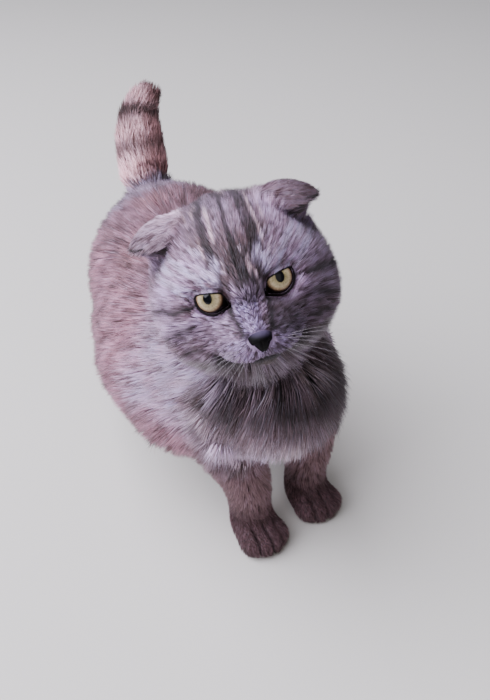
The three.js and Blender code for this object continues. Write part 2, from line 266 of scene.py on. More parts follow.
def smoothed(points, edges, weight, rounds):
    """Moves each point towards the middle of its neighbours, by its weight, some rounds."""
    count = len(points)
    both = np.concatenate([edges, edges[:, ::-1]])
    degree = np.bincount(both[:, 0], minlength=count)
    for _ in range(rounds):
        for axis in range(3):
            mean = np.bincount(both[:, 0], points[both[:, 1], axis], count) / degree
            points[:, axis] += weight * (mean - points[:, axis])
    return points


def finish_mesh(mesh, material):
    """Gives a mesh smooth shading and its one material."""
    mesh.polygons.foreach_set("use_smooth", np.ones(len(mesh.polygons), bool))
    mesh.materials.clear()
    mesh.materials.append(material)


def paint(mesh, colours):
    """Gives each point of a mesh the colour that the coat and the nose leather read."""
    layer = mesh.color_attributes.new("coat colour", "FLOAT_COLOR", "POINT")
    rgba = np.column_stack([np.clip(colours, 0, 1), np.ones(len(colours))])
    layer.data.foreach_set("color", rgba.astype(np.float32).ravel())


def join(pieces):
    """Joins some objects into the first of them."""
    bpy.ops.object.select_all(action="DESELECT")
    for piece in pieces:
        piece.select_set(True)
    bpy.context.view_layer.objects.active = pieces[0]
    bpy.ops.object.join()


def edit_mesh(mesh, change, *values):
    """Changes a mesh by a function that works on its bmesh."""
    shape = bmesh.new()
    shape.from_mesh(mesh)
    change(shape, *values)
    shape.to_mesh(mesh)
    shape.free()


# Parts of the cat, as soft masks from 0 to 1 over world points
HEAD_BALL = np.array([58, 62, 56])  # half sizes of the head, in its own frame, mm


def head_mask(points):
    ball = step(1.18, 1.0, span(to_head(points), 0, HEAD_BALL))
    return np.maximum(ball, ear_mask(points))


def neat_mask(points):
    """1 on the face, where the hair is short and lies close."""
    h = to_head(points)
    face = step(6, -24, h[:, 1]) * head_mask(points) * (1 - jaw_mask(h))
    return np.maximum(face, 0.8 * ear_mask(points))


LOW, HALFWAY, HIGH = (np.array(middle(name)) for name in TAIL_NODES)
TAIL_LINE = np.array([2 * LOW - HALFWAY, LOW, HALFWAY, HIGH, 1.9 * HIGH - 0.9 * HALFWAY])


def tail_share(points):
    """How far along the tail a point is, from 0 at the root to 1 at the tip."""
    return tail_near(points)[0]


def tail_near(points):
    """The share along the tail, the way it runs there, and the distance from its middle line in mm."""
    best = np.full(len(points), 1e9)
    share = np.zeros(len(points))
    along = np.zeros_like(points)
    last = len(TAIL_LINE) - 1
    for i in range(last):
        start, end = TAIL_LINE[i], TAIL_LINE[i + 1]
        way = end - start
        t = np.clip((points - start) @ way / (way @ way), 0, 1)
        away = span(points - start, t[:, None] * way)
        nearer = away < best
        best = np.where(nearer, away, best)
        share = np.where(nearer, (i + t) / last, share)
        along = np.where(nearer[:, None], way / np.linalg.norm(way), along)
    return share, along, best / MM


def tail_mask(points):
    share, _, away = tail_near(points)
    return step(0.05, 0.15, share) * step(33, 26, away) * step(0.100, 0.107, points[:, 1])


BIB_CENTRE = np.array([0.009, -0.100, 0.152])
FRINGE_CENTRE = np.array([-0.004, -0.026, 0.130])
BIB_AT = np.array([0.009, -0.134, 0.150])
BIB_REACH = np.array([0.062, 0.052, 0.072])


def bib_mask(points):
    return step(1.15, 0.75, span(points, BIB_AT, BIB_REACH))


def leg_mask(points):
    """1 on the lower legs, 0 on the trunk."""
    return step(0.105, 0.075, points[:, 2])


def paw_mask(points):
    return step(0.04, 0.026, points[:, 2])


EAR_AT = np.array([41.5, -1, 44])  # the middle of an ear's ridge, in the head's frame
EAR_AXES = np.array(turn(16, "Y"))
EAR_BALL = np.array([24, 20, 11.5])  # half sizes of an ear, mm


def ear_frame(points):
    """Points round the nearer ear in mm: outwards along its ridge, backwards and up."""
    h = to_head(points)
    h[:, 0] = abs(h[:, 0])
    return (h - EAR_AT) @ EAR_AXES


def ear_mask(points):
    return step(1.12, 0.9, span(ear_frame(points), 0, EAR_BALL))


def ear_hollow(points):
    """1 under the lip of each ear, where the flap leaves an opening that is drawn in and carries painted
    shade.
    """
    across, back, up = ear_frame(points).T
    out = np.clip(across, 0, 12)
    return peak(up + 0.15 * out, -11, 4 + 0.25 * out) * peak(across, 3, 13, 4) * peak(back, -8, 9, 4)


# Eyes: each has a frame in millimetres round its ball, with -Y out between the lids and X along them
EYES_APART = (middle("eye_left") - middle("eye_right")).length / MM
IRIS_RADIUS = 8.3
CORNEA_BULGE = 0.8
GAZE_OUT = 13.5  # degrees outwards of straight ahead
GAZE_SIDE = -3  # degrees that both eyes look to the cat's right
GAZE_UP = 14

# The edge between the lids: outwards and up from the middle of the eye, mm
LID_EDGE = np.array(
    [(9.4, 2.4), (6.2, 4.6), (0.5, 5.4), (-5.6, 4.5), (-8.2, 0.6)]
    + [(-9.3, -4.0), (-6.6, -5.3), (-1.2, -7.6), (4.6, -6.0), (8.0, -2.2)]
)


def eye_turn(side):
    return np.array(turn(side * EYE_TURN, "Z") @ turn(-side * EYE_SLANT, "Y"))


def eye_middle(side):
    return np.array([side * EYES_APART / 2, EYES_MIDDLE.y, EYES_MIDDLE.z])


def eye_frame(points, side):
    """Points round an eyeball as distance outwards, depth and height."""
    eye = (to_head(points) - eye_middle(side)) @ eye_turn(side)
    return eye * [side, 1, 1]


def from_eye(eye, side):
    return from_head((eye * [side, 1, 1]) @ eye_turn(side).T + eye_middle(side))


def closed_curve(corners, count):
    """Points on a smooth closed curve through some corners."""
    share = np.arange(count) / count * len(corners)
    index = np.floor(share).astype(int)
    t = (share - index)[:, None]
    a, b, c, d = (corners[(index + k) % len(corners)] for k in (-1, 0, 1, 2))
    return b + 0.5 * t * (c - a + t * (2 * a - 5 * b + 4 * c - d + t * (3 * b - a - 3 * c + d)))


LID_CURVE = closed_curve(LID_EDGE, 96)
LID_ANGLE = np.arctan2(LID_CURVE[:, 1], LID_CURVE[:, 0])
LID_REACH = np.hypot(LID_CURVE[:, 0], LID_CURVE[:, 1])
CORNEA_REACH = 9.5  # where the bulge of the cornea ends, mm from the gaze
LID_REST = 8.4  # the lids lie on the ball this far from the gaze, and fall back beyond it


def past_lid(eye):
    """How far outside the lids' edge a point is, seen along the gaze, and its distance from the axis."""
    reach = np.hypot(eye[:, 0], eye[:, 2])
    edge = np.interp(np.arctan2(eye[:, 2], eye[:, 0]), LID_ANGLE, LID_REACH, period=2 * np.pi)
    return reach - edge, reach


def ball_front(reach):
    """How far out the lids lie over the ball, and beyond it, at a distance from the axis."""
    near = np.minimum(reach, LID_REST)
    bulge = CORNEA_BULGE * (1 - (near / CORNEA_REACH) ** 2)
    return np.sqrt(EYE_RADIUS**2 - near**2) + bulge - 0.85 * np.maximum(reach - LID_REST, 0)


PAWS = [f"{part}_{side}" for part in ("fore_paw", "hind_paw") for side in SIDES]


def toe_gaps(points):
    """1 in the three gaps between the toes of each paw, and 1 over the toes themselves."""
    gap = np.zeros(len(points))
    toes = np.zeros(len(points))
    for node in PAWS:
        low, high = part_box(node)
        width = high.x - low.x
        x = (points[:, 0] - (low.x + high.x) / 2) / width
        y = (points[:, 1] - low.y) / width
        here = step(0.6, 0.5, abs(x)) * step(0.62, 0.4, y) * (points[:, 2] < 0.024)
        here = here * step(-0.4, -0.2, y)
        toes = np.maximum(toes, here)
        for n in (-1, 0, 1):
            across = x - n * 0.235 * (1 - 0.35 * np.clip(y - 0.1, 0, 0.4))
            gap = np.maximum(gap, here * peak(across, 0, 0.028))
    return gap, toes


def near_eye(points, inner, outer):
    """1 close to the lids, 0 further than outer mm from them."""
    near = np.zeros(len(points))
    for side in (1, -1):
        eye = eye_frame(points, side)
        mask = step(outer, inner, past_lid(eye)[0]) * (eye[:, 1] < 0)
        near = np.maximum(near, mask)
    return near


MOUTH = np.array([(0, -30.0), (8, -30.8), (19, -28.6), (28.5, -25.6)])


def mouth_height(side):
    return np.interp(side, MOUTH[:, 0], MOUTH[:, 1])


MUZZLE_AT = np.array([0, -46, -24])
MUZZLE_SHAPE = np.array([1.25, 1, 0.8])


def front_mask(h):
    """1 on the front of the face, over head points."""
    return step(4, -34, h[:, 1])


def cheek_mask(h):
    return step(34, 50, abs(h[:, 0])) * step(16, 4, h[:, 2])


def coat_depth(points):
    """How far the tips stand above the skin, in mm."""
    h = to_head(points)
    muzzle = step(26, 14, span(h, MUZZLE_AT, MUZZLE_SHAPE))
    head = overlaid(6.5, (3.0, front_mask(h)), (6.5, cheek_mask(h)), (6.0, jaw_mask(h)), (1.2, muzzle))
    head = overlaid(head, (0.8, near_eye(points, 2, 9)), (1.7, ear_mask(points)))
    body = overlaid(9.0, (12.0, bib_mask(points)), (4.5, leg_mask(points)), (2.2, paw_mask(points)))
    return overlaid(body, (7.0, tail_mask(points)), (head, head_mask(points)))


def jaw_mask(h):
    """1 on the jaw and lower cheeks, where the long hair of the ruff starts, over head points."""
    below = mouth_height(abs(h[:, 0])) - h[:, 2]
    low = step(0, 6, below) * step(7, 13, abs(h[:, 0]) + 0.8 * np.clip(h[:, 1] + 42, 0, 40))
    cheek = step(34, 44, abs(h[:, 0])) * step(2, -14, h[:, 2])
    return np.maximum(low, cheek) * step(40, 15, h[:, 1])


# Skin: the flesh nodes as one smooth surface, drawn in by the depth of the coat
VOXEL = 0.0021
GROW = 0.0004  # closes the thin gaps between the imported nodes


def grown_copy(name):
    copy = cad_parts[name].copy()
    copy.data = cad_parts[name].data.copy()
    for key in list(copy.keys()):
        del copy[key]
    copy.parent = None
    bpy.context.scene.collection.objects.link(copy)
    edit_mesh(copy.data, grow)
    return copy


def grow(shape):
    """Merges the loose triangles and moves them outwards a little."""
    bmesh.ops.remove_doubles(shape, verts=shape.verts, dist=1e-6)
    shape.normal_update()
    for vertex in shape.verts:
        vertex.co += vertex.normal * GROW


def apply_modifier(piece, kind, **settings):
    bpy.context.view_layer.objects.active = piece
    modifier = piece.modifiers.new(kind.lower(), kind)
    for name, value in settings.items():
        setattr(modifier, name, value)
    bpy.ops.object.modifier_apply(modifier=modifier.name)


def make_skin_mesh():
    copies = [grown_copy(name) for name in FLESH + ["nose", "eye_left", "eye_right"]]
    join(copies)
    skin = copies[0]
    skin.name = "skin"
    bpy.ops.object.select_all(action="DESELECT")
    apply_modifier(skin, "REMESH", mode="VOXEL", voxel_size=VOXEL)
    points = points_of(skin.data)
    points = trim_locks(points, BIB_CENTRE, bib_mask(points) * (1 - head_mask(points)))
    fringe = (abs(points[:, 1] - FRINGE_CENTRE[1]) < 0.045) & (points[:, 2] < 0.09)
    points = trim_locks(points, FRINGE_CENTRE, fringe * 1.0)
    put_points(skin.data, points)
    apply_modifier(skin, "REMESH", mode="VOXEL", voxel_size=VOXEL)
    edit_mesh(skin.data, keep_largest)
    return skin


def trim_locks(points, centre, mask):
    """Presses the solids' locks down to the core that they grow from, as seen from a centre inside."""
    chosen = np.flatnonzero(mask > 0.02)
    away = points[chosen] - centre
    reach = np.linalg.norm(away, axis=1)
    aim = away / reach[:, None]
    core = np.empty(len(chosen))
    for i in range(len(chosen)):
        near = aim @ aim[i] > math.cos(math.radians(13))
        core[i] = np.percentile(reach[near], 12)
    pressed = np.minimum(reach, core)
    points[chosen] = centre + aim * blend(reach, pressed, np.minimum(1, mask[chosen] * 2))[:, None]
    return points


def keep_largest(shape):
    """Deletes all but the largest connected surface."""
    shape.verts.ensure_lookup_table()
    seen = set()
    groups = []
    for start in shape.verts:
        if start.index in seen:
            continue
        seen.add(start.index)
        group = [start]
        for vertex in group:
            for edge in vertex.link_edges:
                other = edge.other_vert(vertex)
                if other.index not in seen:
                    seen.add(other.index)
                    group.append(other)
        groups.append(group)
    groups.sort(key=len)
    for group in groups[:-1]:
        bmesh.ops.delete(shape, geom=group, context="VERTS")


def draw_in(mesh):
    points = points_of(mesh)
    edges = edges_of(mesh)
    triangles = triangles_of(mesh)
    everywhere = np.full(len(points), 0.5)
    bib = bib_mask(points) * (1 - head_mask(points))
    face = head_mask(points) * (1 - ear_mask(points))
    points = smoothed(points, edges, everywhere * (1 - 0.6 * ear_mask(points)), 3)
    points = smoothed(points, edges, 0.6 * np.clip(bib + 0.25 * (1 - face), 0, 1), 30)
    depth = (coat_depth(points) + 3.5 * ear_hollow(points) * (1 - ear_mask(points))) * MM
    rounds = 6
    for _ in range(rounds):
        normals = vertex_normals(points, triangles)
        points = points - normals * (depth / rounds)[:, None]
        points = smoothed(points, edges, everywhere * 0.5 * (1 - 0.7 * ear_mask(points)), 2)
    put_points(mesh, points)


# Fine shape of the face: lids, lips and the pads that carry the whiskers
def refine(shape, chosen):
    """Splits the edges between the chosen points in two."""
    edges = [edge for edge in shape.edges if all(chosen[vertex.index] for vertex in edge.verts)]
    bmesh.ops.subdivide_edges(shape, edges=edges, cuts=1, use_grid_fill=True)


def fine_face(points, margin):
    h = to_head(points)
    near = span(h, [0, -48, -26], [1.3, 1, 0.9]) < 22 + margin
    for side in (1, -1):
        eye = eye_frame(points, side)
        near |= (past_lid(eye)[0] < 5 + margin) & (eye[:, 1] < 4)
    return near


def shape_face(mesh):
    points = points_of(mesh)
    edit_mesh(mesh, refine, fine_face(points, 3) | (toe_gaps(points)[1] > 0))
    points = points_of(mesh)
    edit_mesh(mesh, refine, fine_face(points, 0) | (toe_gaps(points)[0] > 0.02))
    points = points_of(mesh)
    fine = fine_face(points, -1) * 0.5
    points = smoothed(points, edges_of(mesh), fine, 4)
    normals = vertex_normals(points, triangles_of(mesh))
    h = to_head(points)
    side = abs(h[:, 0])
    front = step(22, 34, -h[:, 1])
    pads = np.zeros(len(h))
    for hand in (1, -1):
        pads = pads + np.exp(-np.sum(((h - [hand * 12, -48, -25.5]) / [8, 9, 4.2]) ** 2, axis=1) / 2)
    below = mouth_height(side) - h[:, 2]
    lips = peak(below, 0, 1.4) * step(30, 24, side)
    chin = step(0, 3, below) * step(22, 14, below) * step(26, 12, side)
    split = peak(side, 0, 0.8) * step(-0.5, 0.5, -below) * step(6, 4, -below)
    move = front * (2.4 * pads - 2.4 * lips - 2.4 * chin - 1.5 * split)
    gap, toes = toe_gaps(points)
    move = move * (toes == 0) + 0.5 * toes - 2.6 * gap
    points = points + normals * move[:, None] * MM
    for hand in (1, -1):
        eye = eye_frame(points, hand)
        past, reach = past_lid(eye)
        thickness = -2.4 + 3.1 * step(-0.9, 0.2, past)
        share = step(6.5, 1.2, past) * (eye[:, 1] < 2)
        eye[:, 1] += (-(ball_front(reach) + thickness) - eye[:, 1]) * share
        points = np.where((share > 0)[:, None], from_eye(eye, hand), points)
    put_points(mesh, points)


def ring_mesh(name, rings):
    """A closed tube through rings of points, the last joined to the first."""
    count, sides = rings.shape[:2]
    faces = []
    for i in range(count):
        n = (i + 1) % count
        for k in range(sides):
            m = (k + 1) % sides
            faces.append((i * sides + k, i * sides + m, n * sides + m, n * sides + k))
    mesh = bpy.data.meshes.new(name)
    mesh.from_pydata(rings.reshape(-1, 3).tolist(), [], faces)
    mesh.update()
    return mesh


RIM_SIDES = 10


def rim_mesh(side):
    """The bare dark edge of the lids: a thin ring on the eyeball, broader below and at the corners."""
    ahead = np.roll(LID_CURVE, -1, axis=0) - np.roll(LID_CURVE, 1, axis=0)
    outward = unit(np.column_stack([ahead[:, 1], -ahead[:, 0]]))
    outward *= np.sign(np.sum(outward * LID_CURVE))
    width = 0.5 + 1.1 * step(-0.2, 0.6, -np.sin(LID_ANGLE)) + 0.3 * step(0.6, 1, np.cos(LID_ANGLE))
    rings = []
    for k in range(RIM_SIDES):
        angle = 2 * math.pi * k / RIM_SIDES
        at = LID_CURVE + outward * (width * (0.8 + math.cos(angle)))[:, None]
        front = ball_front(np.hypot(at[:, 0], at[:, 1])) + 0.35 + 0.6 * math.sin(angle)
        rings.append(from_eye(vectors(at[:, 0], -front, at[:, 1]), side))
    rings = np.stack(rings, axis=1)
    if side > 0:
        rings = rings[:, ::-1]
    return ring_mesh("lid_rim", rings)


# Markings and painted light and shade: the colour of the coat at a place, the same for the skin and the tufts
# on it
def hexes(**codes):
    return {name: linear(code) for name, code in codes.items()}


BODY = hexes(
    flank="#cb9cac",
    flank_dark="#745157",
    spine="#826672",
    russet="#89605e",
    rump="#9a8c9f",
    shoulder="#efdaf6",
    belly="#d2c0c8",
    bib="#96818a",
    bib_dark="#2b1f23",
    bib_light="#c4b2b9",
    leg="#92757a",
    paw="#6f555a",
    paw_dark="#281d20",
)
TAIL = hexes(light="#e6bfc4", dark="#2f1c1b", tip="#6f4642")
FACE = hexes(
    light="#c2a8c5",
    mid="#7f646d",
    dark="#2b1e20",
    brown="#584548",
    dash="#e2c5ce",
    brow="#dccbe8",
    bridge="#9e8bae",
    muzzle="#c1aacd",
    line="#100b0d",
    chin="#5d504c",
    jaw="#9c9397",
    ear="#dcc1d2",
    ear_inside="#2b2220",
)


def mix(first, second, share):
    return first + (second - first) * np.clip(share, 0, 1)[:, None]


class Layers:
    """Colours from a palette at some points, each laid over those before it by its share."""

    def __init__(self, palette, ground, count):
        self.palette = palette
        self.colours = np.tile(palette[ground], (count, 1))

    def lay(self, name, share):
        self.colours = mix(self.colours, self.palette[name], share)


STRIPE_SPACING = 24  # of the flank's stripes, mm
RING_SPACING = 18  # of the rings on the legs, mm


def body_colour(points, normals):
    mm = points / MM
    x, y, z = mm.T
    soft = cloud(mm, 16, 1)
    fine = cloud(mm, 5, 2)
    gaps = toe_gaps(points)[0]
    bib = bib_mask(points)
    # Back and flanks
    coat = Layers(BODY, "flank", len(mm))
    stripes = np.sin(2 * np.pi * (y + 0.25 * z + 5 * soft) / STRIPE_SPACING + 1.0)
    coat.lay("flank_dark", 0.5 * step(0.0, 0.9, stripes + 0.5 * fine) + 0.2 * soft)
    back = step(0.35, 0.85, normals[:, 2]) * step(180, 200, z)
    coat.lay("spine", back * 0.9)
    coat.lay("russet", back * (peak(y, 5, 22) + peak(y, 46, 11)) * (0.3 + 0.4 * soft))
    rump = step(54, 74, y) * step(185, 205, z) * step(40, 22, abs(x - 8))
    coat.lay("rump", rump * (0.7 + 0.3 * soft))
    ahead = step(-34, -62, y) * step(120, 150, z)
    coat.lay("shoulder", ahead * step(0.3, 0.7, abs(normals[:, 0])) * (0.75 + 0.4 * fine))
    coat.lay("belly", step(104, 84, z) * step(-100, -72, y))
    # Chest: pale tufts with the ruff over them, with painted light and painted shade laid on them
    chest = Layers(BODY, "bib", len(mm))
    chest.lay("bib_light", 0.75 * step(-0.2, 0.7, cloud(mm * [1, 1, 0.3], 6, 3) + 0.4 * fine))
    # Painted light on the right side of the chest
    chest.lay("shoulder", peak(z, 130, 12) * step(6, -8, x) * (0.4 + 0.4 * fine))
    # A band of painted shadow under the ruff's tips, and painted shade over the left side of the chest
    chest.lay("bib_dark", peak(z - 4 * soft, 171, 10) * (0.95 + 0.3 * fine) * step(-52, -26, x))
    chest.lay("bib_dark", 0.72 * step(-2, 26, x))
    # Painted light on the ruff at the right side
    chest.lay("shoulder", peak(x, -50, 16) * step(168, 180, z) * (0.8 + 0.3 * fine))
    # Legs and paws
    coat.lay("leg", step(112, 78, z))
    share = np.maximum(bib, step(-84, -110, y)) * step(80, 100, z + 5 * fine)
    coat.colours = mix(coat.colours, chest.colours, share)
    rings = step(0.0, 0.8, np.sin(2 * np.pi * (z + 3 * soft) / RING_SPACING))
    coat.lay("paw", step(56, 22, z) * (0.8 + 0.2 * rings))
    # Painted shade in the gaps between the toes
    coat.lay("paw_dark", gaps * 0.9)
    return coat.colours


TAIL_RINGS = ((0.29, 0.07, 0.85), (0.5, 0.078, 1.0), (0.82, 0.11, 0.85))  # share along, half width, strength


def tail_colour(points, normals):
    along = tail_share(points) + 0.012 * cloud(points / MM, 7, 4)
    coat = Layers(TAIL, "light", len(points))
    # Painted shade down the tail's left side, in the colour of its tip
    coat.lay("tip", step(-0.6, 0.4, normals[:, 0]) * 0.8)
    coat.lay("tip", step(0.74, 0.8, along))
    for at, width, strength in TAIL_RINGS:
        coat.lay("dark", peak(along, at, width) * strength)
    return coat.colours


CHEEK_LINES = ((3.0, 0.30, 2.2), (-9.0, 0.42, 3.0), (-20.0, 0.3, 2.6))  # height, drop outwards, half width
# Painted light and shade over the face, as lighter and darker patches of the coat
FACE_PAINTED_LIGHT = (  # middle across and up, reach across and up in mm, and how light
    (26, -17, 18, 14, 0.55),
    (4, -22, 8, 10, 0.75),
    (4, 4, 7, 9, 0.68),
    (0, 13, 5, 5, 0.6),
    (6, -31, 15, 6, 0.5),
    (-14, -36, 10, 4, 0.6),
    (-29, -11, 12, 8, 0.75),
    (-50, -13, 8, 9, 1.6),
    (20, -4, 10, 4, 2.2),
    (22, 17, 13, 8, 1.5),
    (42, 46, 22, 13, 2.3),
)


def face_colour(h, ears, hollow, normals):
    x, y, z = h.T
    side = abs(x)
    soft = cloud(h, 11, 5)
    fine = cloud(h * [1.0, 0.6, 0.4], 2.6, 6)
    up = z - 0.8 * y  # up over the forehead and back over the crown
    streaks = cloud(vectors(x + 0.05 * x * up / 40, 0.15 * up, 0), 2.5, 7)
    dashes = cloud(vectors(x, 0.2 * up, 9), 1.4, 8)
    coat = Layers(FACE, "light", len(h))
    coat.lay("mid", 0.45 + 0.5 * soft + 0.35 * fine)
    # Broken brown streaks up the forehead and over the crown, with pale dashes between them
    wave = np.cos(2 * np.pi * (x + 1.6 * soft) / (8.6 + 0.05 * np.clip(up, 0, 60)))
    wide = 13 + 0.3 * np.clip(z - 8, 0, 40)
    forehead = step(2, 12, z) * step(wide + 5, wide - 6, side) * step(44, 10, y)
    low = 1 - 0.55 * step(28, 44, z)
    coat.lay("brown", forehead * low * 0.95)
    coat.lay("dark", forehead * step(-0.1, 0.5, 0.5 * wave + 1.2 * streaks) * (0.65 + 0.35 * low))
    coat.lay("dash", forehead * step(0.15, 0.5, dashes) * step(0.7, -0.3, wave) * 0.75)
    # Pale patches over the eyes, running out to the ears, and paler hair under the eyes
    streak = cloud(vectors(0.5 * (side - z), 0.16 * (side + z), 0), 1.6, 10)
    brow = step(1.25, 0.65, np.hypot((side - 26) / 17, (z - 19) / 12))
    coat.lay("brow", brow * step(-4, 14, -y) * step(4, 8, z) * (0.5 + 1.2 * streak))
    under = step(1.2, 0.5, np.hypot((side - 24) / 10, (z + 5 - 0.2 * (side - 24)) / 4.5))
    coat.lay("light", under * step(18, 28, -y) * 0.6)
    # Cheek lines from the outer corner of the eye
    for height, drop, width in CHEEK_LINES:
        line = peak(z + drop * (side - 30) + 2.5 * soft, height, width)
        coat.lay("dark", step(26, 32, side) * line * (0.75 + 0.3 * fine))
    # Bridge, with a dark line at each side from the corner of the eye to the nostril
    bridge = step(7, 4.5, abs(x + 2)) * step(30, 40, -y) * step(6, -2, z) * step(-22, -14, z)
    coat.lay("bridge", bridge * (0.9 + 0.2 * fine))
    between = step(12, 6, side) * step(24, 34, -y) * step(-6, 2, z) * step(34, 20, z)
    coat.lay("dark", between * step(-0.7, 0.3, fine) * 0.65)
    beside = peak(side - 0.2 * (z + 14), 7.6, 2.0) * step(-22, -16, z) * step(6, -2, z)
    coat.lay("dark", beside * step(28, 36, -y) * 0.95)
    # Muzzle, its spots, a painted shadow under the pads, the chin darker by painted shade, and the dark line
    # of the mouth over the chin
    muzzle = step(1.2, 0.7, span(h, [0, -46, -25], [27, 18, 9]))
    coat.lay("muzzle", muzzle * (0.75 + 0.4 * fine))
    spots = step(0.3, 0.7, np.sin(side * 1.5) * np.sin(z * 1.6 + side * 0.4)) * step(8, 11, side)
    coat.lay("brown", muzzle * spots * 0.8)
    below = mouth_height(side) - z
    coat.lay("jaw", step(1, 5, below) * step(-10, 10, -y) * (0.8 + 0.5 * fine))
    shadow = step(0.5, 2, below) * step(9, 5, below) * step(30, 24, side) * step(16, 28, -y)
    coat.lay("dark", shadow * 0.85)
    # The chin's own patch, darkened by painted shade
    coat.lay("chin", step(3, 6, below) * step(9, 4, side) * step(20, 30, -y) * 0.8)
    coat.lay("line", peak(below, 0.8, 2.0) * step(30, 25, side) * step(22, 32, -y))
    # Ears, pale outside, with painted shade in the opening under the flap and on their undersides
    ear = mix(FACE["ear"], FACE["mid"], 0.15 + 0.35 * soft + 0.4 * fine)
    coat.colours = mix(coat.colours, ear, ears * 0.9)
    # Painted light and shade in broad areas: painted shade over the left side of the lower face, between the
    # eyes and under the muzzle, and painted light on the outer right cheek, the left brow, under the left eye
    # and on the left ear
    for across, high, wide, tall, tone in FACE_PAINTED_LIGHT:
        patch = peak(x, across, wide) * peak(z, high, tall)
        coat.colours *= (1 + (tone - 1) * patch * step(10, -10, y))[:, None]
    # Painted shade on the undersides of the ears and in the opening under each flap
    inside = ears * step(0.1, 0.5, -normals[:, 2])
    coat.lay("ear_inside", np.maximum(inside, 0.95 * hollow * (1 - ears)))
    return coat.colours


SATURATION = 1.22  # the view transform pales colours, so the coat's own are a little stronger


def coat_colour(points, normals):
    h = to_head(points)
    tail = tail_mask(points)
    head = step(0.3, 0.8, head_mask(points))
    face = face_colour(h, ear_mask(points), ear_hollow(points), normals @ HEAD_TURN)
    colour = mix(body_colour(points, normals), tail_colour(points, normals), tail)
    colour = mix(colour, face, head)
    grey = colour.mean(axis=1, keepdims=True)
    return within(np.maximum(grey + (colour - grey) * SATURATION, 0.003))


def within(colours):
    """Colours scaled down where a channel would pass 1, so that the hue stays."""
    return colours / np.maximum(colours.max(axis=1, keepdims=True), 1)


# Lie of the coat: which way the hair points, before it is laid on the surface
def coat_lie(points, normals):
    mm = points / MM
    x, y, _ = mm.T
    flank = step(0.2, 0.9, abs(normals[:, 0]))
    body = vectors(0.1 * np.sign(x), 0.8, -0.25 - 0.4 * flank)
    bib = vectors(0.9 * (x - 9) / 60, -0.1, -1.0)
    legs = np.array([0, 0.2, -1.0])
    paws = np.array([0, -0.8, -0.5])
    h = to_head(points)
    ear = vectors(0.95 * np.sign(h[:, 0]), -0.25, -0.3)
    face = blend(unit(h - [0, -52, -16]), ear, ear_mask(points)[:, None])
    lie = overlaid(
        body,
        (bib, np.maximum(bib_mask(points), step(-90, -130, y))[:, None]),
        (legs, leg_mask(points)[:, None]),
        (paws, paw_mask(points)[:, None]),
        (tail_near(points)[1], tail_mask(points)[:, None]),
        (face @ HEAD_TURN.T, head_mask(points)[:, None]),
    )
    swirl = np.column_stack([cloud(mm, 14, 20 + i) for i in range(3)])
    return tangent(unit(lie) + blend(0.35, 0.14, neat_mask(points))[:, None] * swirl, normals)


def coat_length(points):
    """How long the hair is, in mm."""
    h = to_head(points)
    side = abs(h[:, 0])
    lip = mouth_height(side) - h[:, 2]
    muzzle = step(30, 14, span(h, MUZZLE_AT, MUZZLE_SHAPE))
    beard = overlaid(5.0, (10.0, step(22, 34, side)), (18.0, step(2, 10, lip)))
    bridge = step(10, 6, side) * step(8, -2, h[:, 2]) * step(-34, -42, h[:, 1])
    head = overlaid(13.0, (7.0, front_mask(h)), (13.0, cheek_mask(h)), (beard, jaw_mask(h)))
    head = overlaid(head, (blend(3.2, 1.4, step(-5, -1, lip)), muzzle), (2.5, bridge))
    _, back, up = ear_frame(points).T
    ear = blend(6.0, 9.0, step(-4, -10, back) * step(2, -4, up))
    head = overlaid(head, (2.0, near_eye(points, 0.5, 9)), (ear, ear_mask(points)))
    tail = np.clip(4 + 80 * (0.9 - tail_share(points)), 4, 17)
    body = overlaid(18.0, (30.0, bib_mask(points)), (9.0, leg_mask(points)), (4.0, paw_mask(points)))
    return overlaid(body, (tail, tail_mask(points)), (head, head_mask(points)))


def coat_width(points):
    """Width of a tuft at its root, in mm."""
    h = to_head(points)
    face = step(8, -20, h[:, 1]) * (1 - jaw_mask(h))
    head = overlaid(0.62, (0.42, face), (0.33, near_eye(points, 1, 8)), (0.45, ear_mask(points)))
    return overlaid(0.95, (1.05, bib_mask(points)), (0.85, leg_mask(points)), (head, head_mask(points)))


def coat_density(points):
    """Tufts to a square millimetre of skin."""
    h = to_head(points)
    face = step(2, -24, h[:, 1]) * (1 - jaw_mask(h))
    head = overlaid(1.9, (4.6, face), (3.4, ear_mask(points)))
    return overlaid(1.1, (1.15, leg_mask(points)), (1.1, tail_mask(points)), (head, head_mask(points)))


def scatter(points, triangles, density):
    """Roots spread evenly over a surface, with their normals."""
    normals = vertex_normals(points, triangles)
    a, b, c = (points[triangles[:, i]] for i in range(3))
    area = span(np.cross(b - a, c - a), 0) / 2 / MM**2
    counts = np.floor(area * density((a + b + c) / 3) + rng.random(len(area))).astype(int)
    pick = np.repeat(np.arange(len(area)), counts)
    edge = np.sqrt(rng.random(len(pick)))[:, None]
    slide = rng.random(len(pick))[:, None]
    shares = (1 - edge, edge * (1 - slide), edge * slide)
    roots = sum(share * points[triangles[pick, i]] for i, share in enumerate(shares))
    facing = sum(share * normals[triangles[pick, i]] for i, share in enumerate(shares))
    return roots, unit(facing)


CLUMP_SIZE = 11  # tufts whose tips draw together
TONE_HUE = np.array([0.9, 1.02, 1.1])  # dark hair is browner and light hair bluer
ROOT_SHADE = 0.24
TIP_SHADE = 1.25
PALE_HAIR = linear("#ecdffb")
UNDERFUR_SHADE = 0.45
PATCH = 0.003  # size of a tuft's own patch on the unwrap
CURVED = ("bib", "tail")  # regions whose long hair has a bend
GUARD_SHARE = 0.16  # of the long hairs, which stand out longer, thinner and paler
PALE_SHARE = 0.14  # of all hairs, and a few more on the face
NEAT_PALE_SHARE = 0.07
ROOT_SINK = 0.0006  # a tuft starts this far under the skin
BEND = 0.09  # how far the middle of a hair stands out, as a share of its length
LOWEST_TIP = 0.0008  # above the floor


